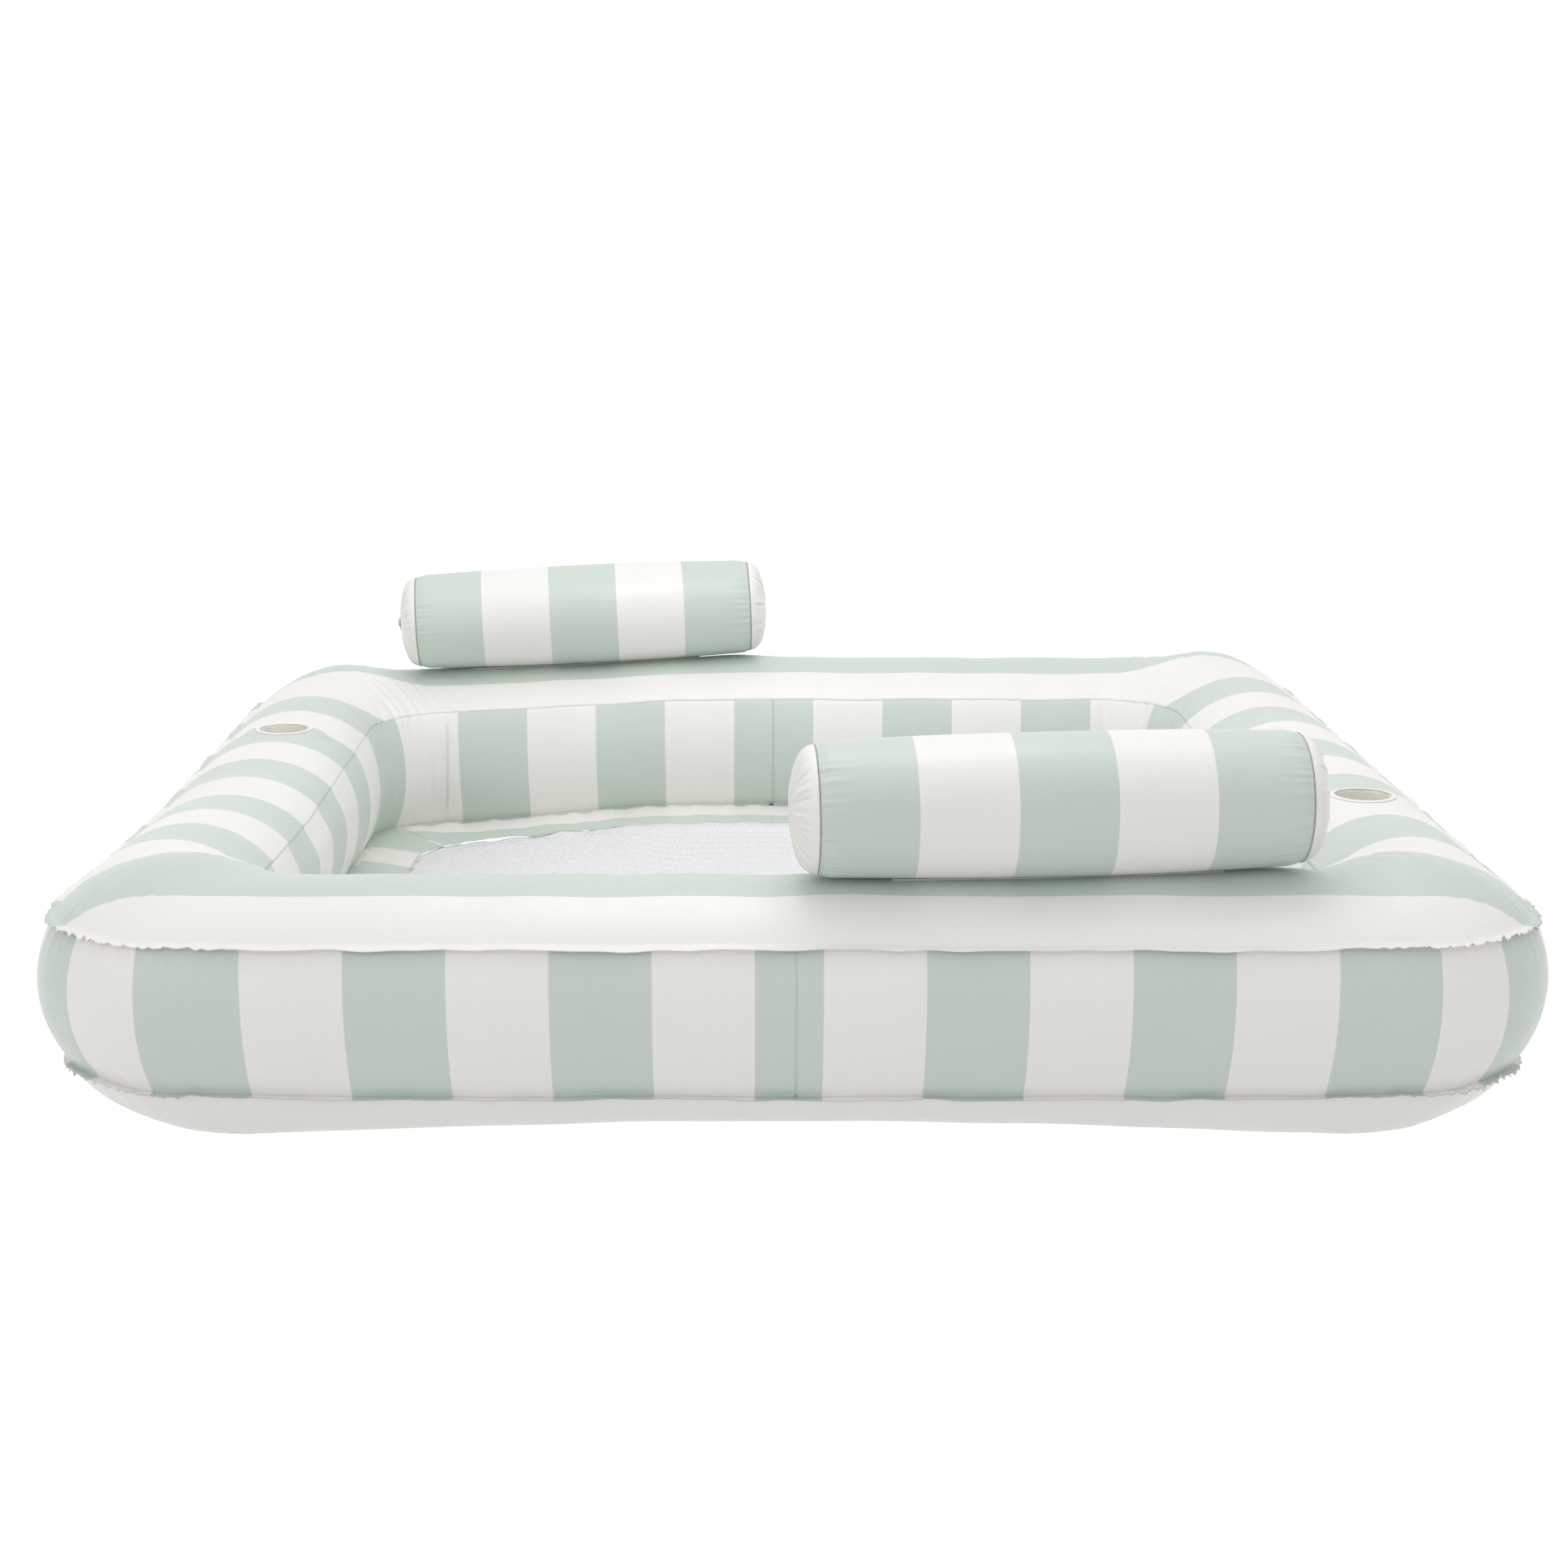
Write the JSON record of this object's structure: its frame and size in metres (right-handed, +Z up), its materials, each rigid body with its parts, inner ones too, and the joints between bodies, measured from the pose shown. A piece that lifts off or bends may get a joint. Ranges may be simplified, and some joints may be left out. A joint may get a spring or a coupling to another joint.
{
  "type": "inflatable pool float",
  "caption": "Square inflatable pool lounge: air ring with a mesh floor, roll pillows at opposite corners, cup holders in the side tubes and push-in air valves.",
  "frame": {"origin": "centre of the footprint, on the ground", "axes": "+Z up; -Y towards the front, where the pillow lies on the right; +X towards the right-hand side tube"},
  "size_m": [1.857, 1.828, 0.4975],
  "materials": {
    "striped_vinyl": "sage and cream striped vinyl sheet, soft satin, fine welded seams",
    "cream_vinyl": "plain cream vinyl sheet, soft satin",
    "weld_vinyl": "white vinyl pressed flat by the weld",
    "net_fabric": "fine white polyester net with a zigzag stitched edge",
    "valve_vinyl": "milky moulded soft vinyl"
  },
  "bodies": {
    "ring": {"top_panel": "striped_vinyl", "bottom_panel": "cream_vinyl", "outer_wall_left": "striped_vinyl", "outer_wall_right": "striped_vinyl", "inner_wall_left": "striped_vinyl", "inner_wall_right": "striped_vinyl", "divider_front": "cream_vinyl", "divider_back": "cream_vinyl", "floor_border_front": "striped_vinyl", "floor_border_right": "striped_vinyl", "floor_border_back": "striped_vinyl", "floor_border_left": "striped_vinyl", "floor_mesh": "net_fabric", "cup_well_right": "cream_vinyl", "cup_rim_right": "weld_vinyl", "cup_base_right": "cream_vinyl", "pillow_right_tab": "cream_vinyl", "ring_valve_right_flange": "valve_vinyl", "cup_well_left": "cream_vinyl", "cup_rim_left": "weld_vinyl", "cup_base_left": "cream_vinyl", "pillow_left_tab": "cream_vinyl", "ring_valve_left_flange": "valve_vinyl"},
    "pillow_right": {"pillow_right_barrel": "striped_vinyl", "pillow_right_inner_cap": "cream_vinyl", "pillow_right_outer_cap": "cream_vinyl", "pillow_right_valve_flange": "valve_vinyl"},
    "pillow_right_valve_stem": {"pillow_right_valve_stem": "valve_vinyl"},
    "pillow_right_valve_plug": {"pillow_right_valve_plug": "valve_vinyl"},
    "pillow_right_valve_flap": {"pillow_right_valve_flap": "valve_vinyl"},
    "ring_valve_right_stem": {"ring_valve_right_stem": "valve_vinyl"},
    "ring_valve_right_plug": {"ring_valve_right_plug": "valve_vinyl"},
    "ring_valve_right_flap": {"ring_valve_right_flap": "valve_vinyl"},
    "pillow_left": {"pillow_left_barrel": "striped_vinyl", "pillow_left_inner_cap": "cream_vinyl", "pillow_left_outer_cap": "cream_vinyl", "pillow_left_valve_flange": "valve_vinyl"},
    "pillow_left_valve_stem": {"pillow_left_valve_stem": "valve_vinyl"},
    "pillow_left_valve_plug": {"pillow_left_valve_plug": "valve_vinyl"},
    "pillow_left_valve_flap": {"pillow_left_valve_flap": "valve_vinyl"},
    "ring_valve_left_stem": {"ring_valve_left_stem": "valve_vinyl"},
    "ring_valve_left_plug": {"ring_valve_left_plug": "valve_vinyl"},
    "ring_valve_left_flap": {"ring_valve_left_flap": "valve_vinyl"}
  },
  "joints": [
    {"name": "pillow_right_roll", "type": "hinge", "parent": "ring", "child": "pillow_right", "pos_m": [0.31512, -0.77994, 0.32441], "axis": [0.9985, 0.0523, 0.0131], "range_deg": [-10, 10], "stiffness_Nm_per_rad": 1.5},
    {"name": "pillow_right_valve_push", "type": "slide", "parent": "pillow_right", "child": "pillow_right_valve_stem", "axis": [0.9985, 0.0523, 0.0131], "range_m": [0, 0.01]},
    {"name": "pillow_right_valve_open", "type": "hinge", "parent": "pillow_right_valve_stem", "child": "pillow_right_valve_plug", "pos_m": [0.63727, -0.76306, 0.42294], "axis": [0.0523, -0.9986, 0], "range_deg": [0, 110]},
    {"name": "pillow_right_valve_check", "type": "hinge", "parent": "pillow_right_valve_stem", "child": "pillow_right_valve_flap", "pos_m": [0.62064, -0.76393, 0.41882], "axis": [-0.0523, 0.9986, 0], "range_deg": [0, 35]},
    {"name": "ring_valve_right_push", "type": "slide", "parent": "ring", "child": "ring_valve_right_stem", "axis": [1, 0, 0], "range_m": [0, 0.01]},
    {"name": "ring_valve_right_open", "type": "hinge", "parent": "ring_valve_right_stem", "child": "ring_valve_right_plug", "pos_m": [0.92715, 0, 0.179], "axis": [0, -1, 0], "range_deg": [0, 110]},
    {"name": "ring_valve_right_check", "type": "hinge", "parent": "ring_valve_right_stem", "child": "ring_valve_right_flap", "pos_m": [0.91045, 0, 0.1751], "axis": [0, 1, 0], "range_deg": [0, 35]},
    {"name": "pillow_left_roll", "type": "hinge", "parent": "ring", "child": "pillow_left", "pos_m": [-0.32956, 0.78018, 0.31297], "axis": [-0.9978, -0.0523, -0.0401], "range_deg": [-10, 10], "stiffness_Nm_per_rad": 1.5},
    {"name": "pillow_left_valve_push", "type": "slide", "parent": "pillow_left", "child": "pillow_left_valve_stem", "axis": [-0.9978, -0.0523, -0.0401], "range_m": [0, 0.01]},
    {"name": "pillow_left_valve_open", "type": "hinge", "parent": "pillow_left_valve_stem", "child": "pillow_left_valve_plug", "pos_m": [-0.65649, 0.76305, 0.3942], "axis": [-0.0523, 0.9986, 0], "range_deg": [0, 110]},
    {"name": "pillow_left_valve_check", "type": "hinge", "parent": "pillow_left_valve_stem", "child": "pillow_left_valve_flap", "pos_m": [-0.63967, 0.76393, 0.39097], "axis": [0.0523, -0.9986, 0], "range_deg": [0, 35]},
    {"name": "ring_valve_left_push", "type": "slide", "parent": "ring", "child": "ring_valve_left_stem", "axis": [-1, 0, 0], "range_m": [0, 0.01]},
    {"name": "ring_valve_left_open", "type": "hinge", "parent": "ring_valve_left_stem", "child": "ring_valve_left_plug", "pos_m": [-0.92715, 0, 0.179], "axis": [0, 1, 0], "range_deg": [0, 110]},
    {"name": "ring_valve_left_check", "type": "hinge", "parent": "ring_valve_left_stem", "child": "ring_valve_left_flap", "pos_m": [-0.91045, 0, 0.1751], "axis": [0, -1, 0], "range_deg": [0, 35]}
  ]
}
